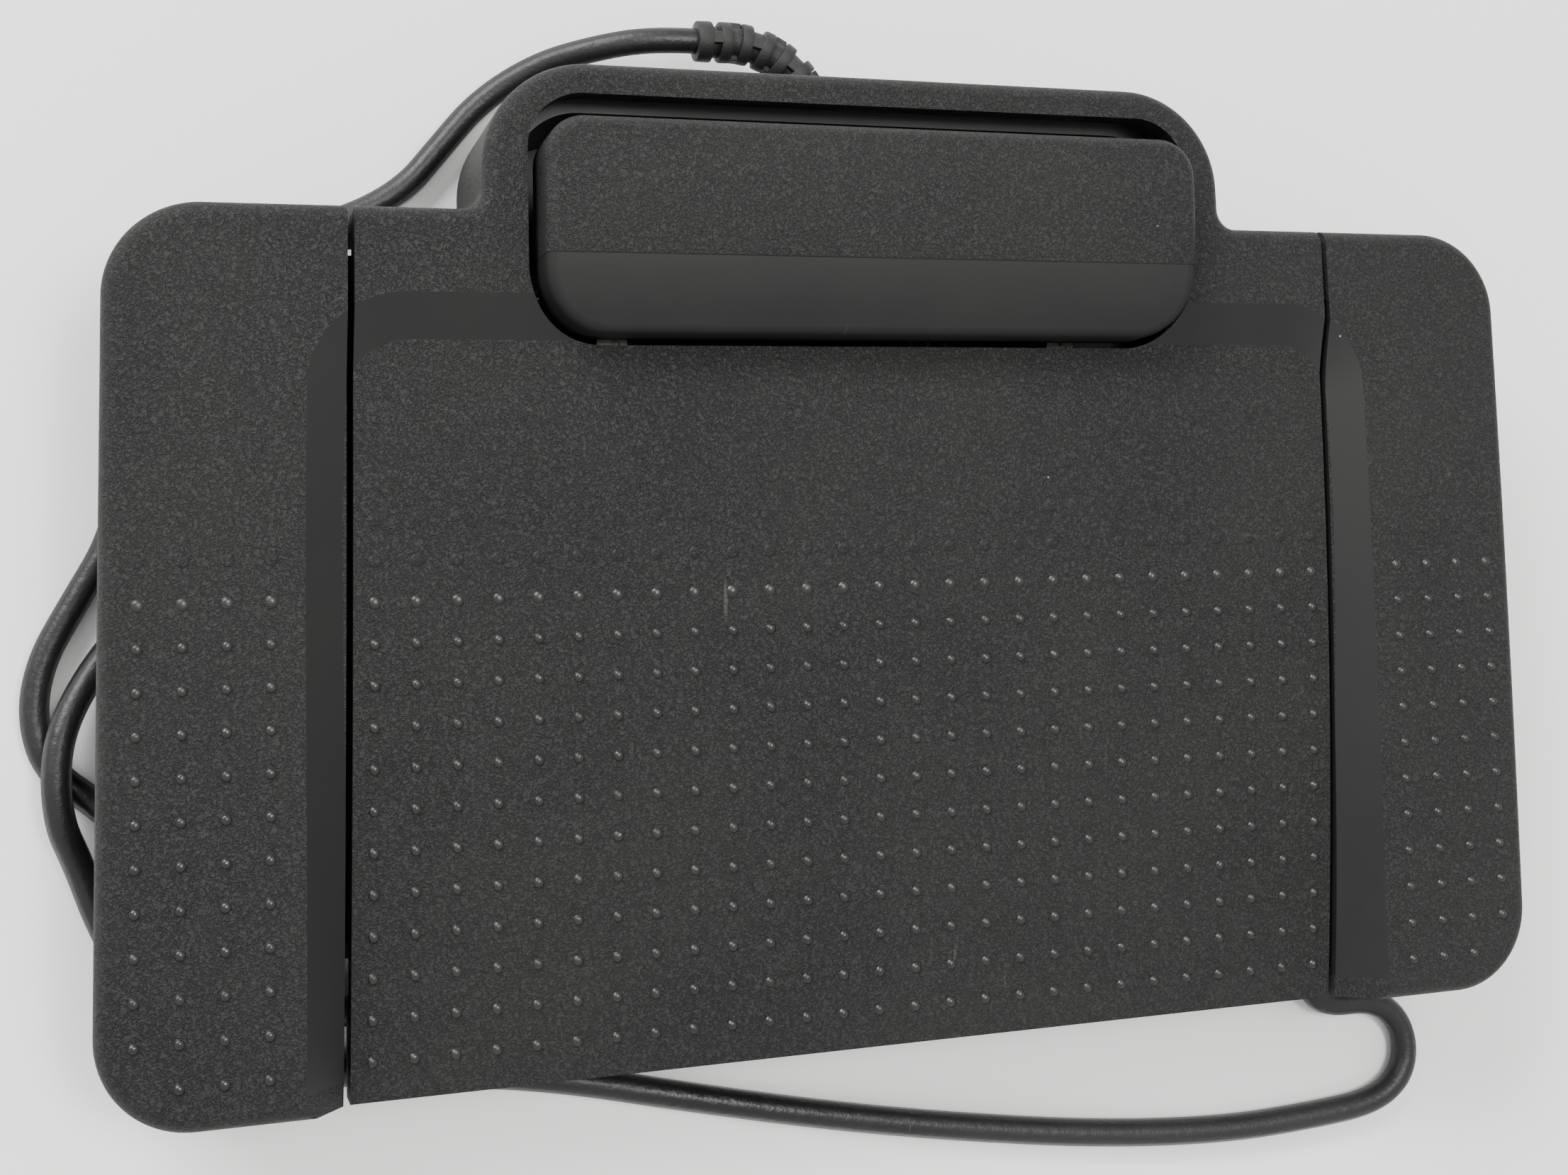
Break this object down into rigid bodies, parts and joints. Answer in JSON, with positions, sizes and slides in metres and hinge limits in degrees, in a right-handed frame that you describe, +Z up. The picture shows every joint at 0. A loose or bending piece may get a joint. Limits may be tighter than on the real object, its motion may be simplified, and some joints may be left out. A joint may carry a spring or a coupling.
{
  "type": "dictation foot control",
  "caption": "Low wedge foot control with side pedals, a wide dimpled centre pedal and a raised bar key on one base, with sprung hinges, switches and a signal cord.",
  "frame": {"origin": "middle of the device's footprint without its cord, on the floor under the rubber sole", "axes": "+X to the user's right along the long side, +Y away from the user towards the bar key, +Z up"},
  "size_m": [0.2414, 0.1773, 0.0397],
  "materials": {
    "pedal_plastic": "leather grain, semi-matt",
    "key_plastic": "leather grain on top, smooth front slope",
    "base_plastic": "fine spark-eroded texture",
    "rubber": "moulded, matt",
    "zinc_steel": "zinc plated",
    "bright_steel": "ground",
    "screw_steel": "zinc plated",
    "spring_steel": "drawn wire",
    "circuit_board": "paper laminate, bare",
    "switch_body": "moulded",
    "switch_plunger": "moulded, natural",
    "connector_plastic": "moulded, natural",
    "wire_insulation": "extruded",
    "cord_jacket": "smooth vinyl jacket, slightly glossy",
    "relief_rubber": "moulded, segmented",
    "tie_plastic": "flexible strap, matt",
    "plug_plastic": "moulded",
    "plug_metal": "nickel plated",
    "plug_insert_plastic": "moulded",
    "contact_metal": "plated"
  },
  "bodies": {
    "base": {"base_shell": "base_plastic", "cord_clamp": "base_plastic", "rubber_sole": "rubber", "stop_pads": "rubber", "ballast_plate": "zinc_steel", "shaft_clips": "zinc_steel", "hinge_shaft": "bright_steel", "key_pin": "bright_steel", "board_screws": "screw_steel", "ballast_screws": "screw_steel", "clip_screws": "screw_steel", "clamp_screws": "screw_steel", "left_pedal_spring": "spring_steel", "right_pedal_spring": "spring_steel", "centre_spring_left": "spring_steel", "centre_spring_right": "spring_steel", "key_spring_left": "spring_steel", "key_spring_right": "spring_steel", "circuit_board": "circuit_board", "left_switch": "switch_body", "right_switch": "switch_body", "centre_switch": "switch_body", "key_switch": "switch_body", "board_connector": "connector_plastic", "lead_wires": "wire_insulation", "signal_cord": "cord_jacket", "signal_cord_end": "cord_jacket", "cord_hank": "cord_jacket", "inner_lead": "cord_jacket", "strain_relief": "relief_rubber", "hank_tie": "tie_plastic", "plug_grip": "plug_plastic", "plug_shell": "plug_metal", "plug_insert": "plug_insert_plastic", "plug_pins": "contact_metal"},
    "left_pedal": {"left_pedal": "pedal_plastic"},
    "centre_pedal": {"centre_pedal": "pedal_plastic"},
    "right_pedal": {"right_pedal": "pedal_plastic"},
    "bar_key": {"bar_key": "key_plastic"},
    "left_plunger": {"left_plunger": "switch_plunger"},
    "right_plunger": {"right_plunger": "switch_plunger"},
    "centre_plunger": {"centre_plunger": "switch_plunger"},
    "key_plunger": {"key_plunger": "switch_plunger"}
  },
  "joints": [
    {"name": "left_pedal_hinge", "type": "hinge", "parent": "base", "child": "left_pedal", "pos_m": [-0.0715, 0.04, 0.0165], "axis": [1, 0, 0], "range_deg": [0, 2], "stiffness_Nm_per_rad": 9, "springref_deg": -0.69, "deforming": ["left_pedal_spring"]},
    {"name": "centre_pedal_hinge", "type": "hinge", "parent": "base", "child": "centre_pedal", "pos_m": [0, 0.04, 0.0165], "axis": [1, 0, 0], "range_deg": [0, 2], "stiffness_Nm_per_rad": 16, "springref_deg": -0.69, "deforming": ["centre_spring_left", "centre_spring_right"]},
    {"name": "right_pedal_hinge", "type": "hinge", "parent": "base", "child": "right_pedal", "pos_m": [0.0715, 0.04, 0.0165], "axis": [1, 0, 0], "range_deg": [0, 2], "stiffness_Nm_per_rad": 9, "springref_deg": -0.69, "deforming": ["right_pedal_spring"]},
    {"name": "bar_key_hinge", "type": "hinge", "parent": "base", "child": "bar_key", "pos_m": [0, 0.056, 0.024], "axis": [1, 0, 0], "range_deg": [0, 3], "stiffness_Nm_per_rad": 1.2, "springref_deg": -1.15, "deforming": ["key_spring_left", "key_spring_right"]},
    {"name": "left_plunger_slide", "type": "slide", "parent": "base", "child": "left_plunger", "axis": [0, 0, -1], "range_m": [0, 0.00102]},
    {"name": "centre_plunger_slide", "type": "slide", "parent": "base", "child": "centre_plunger", "axis": [0, 0, -1], "range_m": [0, 0.0011]},
    {"name": "right_plunger_slide", "type": "slide", "parent": "base", "child": "right_plunger", "axis": [0, 0, -1], "range_m": [0, 0.00102]},
    {"name": "key_plunger_slide", "type": "slide", "parent": "base", "child": "key_plunger", "axis": [0, 0, -1], "range_m": [0, 0.00125]}
  ],
  "couplings": [
    {"joint": "left_plunger_slide", "follows": "left_pedal_hinge", "m_per_rad": 0.028},
    {"joint": "centre_plunger_slide", "follows": "centre_pedal_hinge", "m_per_rad": 0.03},
    {"joint": "right_plunger_slide", "follows": "right_pedal_hinge", "m_per_rad": 0.028},
    {"joint": "key_plunger_slide", "follows": "bar_key_hinge", "m_per_rad": 0.0228}
  ]
}
